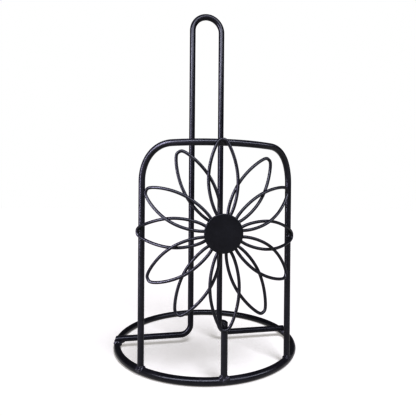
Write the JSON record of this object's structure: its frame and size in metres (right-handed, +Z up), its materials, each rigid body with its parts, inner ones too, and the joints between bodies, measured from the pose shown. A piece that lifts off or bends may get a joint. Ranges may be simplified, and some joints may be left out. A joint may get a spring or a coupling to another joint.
{
  "type": "paper towel holder",
  "caption": "Free-standing wire paper towel holder: round base ring, tall hairpin mast for the roll, and a curved front arch that carries a wire flower with a centre disc.",
  "frame": {"origin": "centre of the base ring, on the table that the ring stands on", "axes": "+Z up along the mast; -Y to the front, where the flower is; X to the right, within two degrees of the mast's two feet"},
  "size_m": [0.1784, 0.1817, 0.331],
  "materials": {
    "wire_coat": "satin black powder coat over steel wire",
    "disc_coat": "matte black powder coat over steel plate"
  },
  "bodies": {
    "root": {"base_ring": "wire_coat", "roll_mast": "wire_coat", "front_arch": "wire_coat", "front_post": "wire_coat", "flower_disc": "disc_coat", "petal_01": "wire_coat", "petal_02": "wire_coat", "petal_03": "wire_coat", "petal_04": "wire_coat", "petal_05": "wire_coat", "petal_06": "wire_coat", "petal_07": "wire_coat", "petal_08": "wire_coat", "petal_09": "wire_coat", "petal_10": "wire_coat", "petal_11": "wire_coat", "petal_12": "wire_coat"}
  },
  "joints": []
}
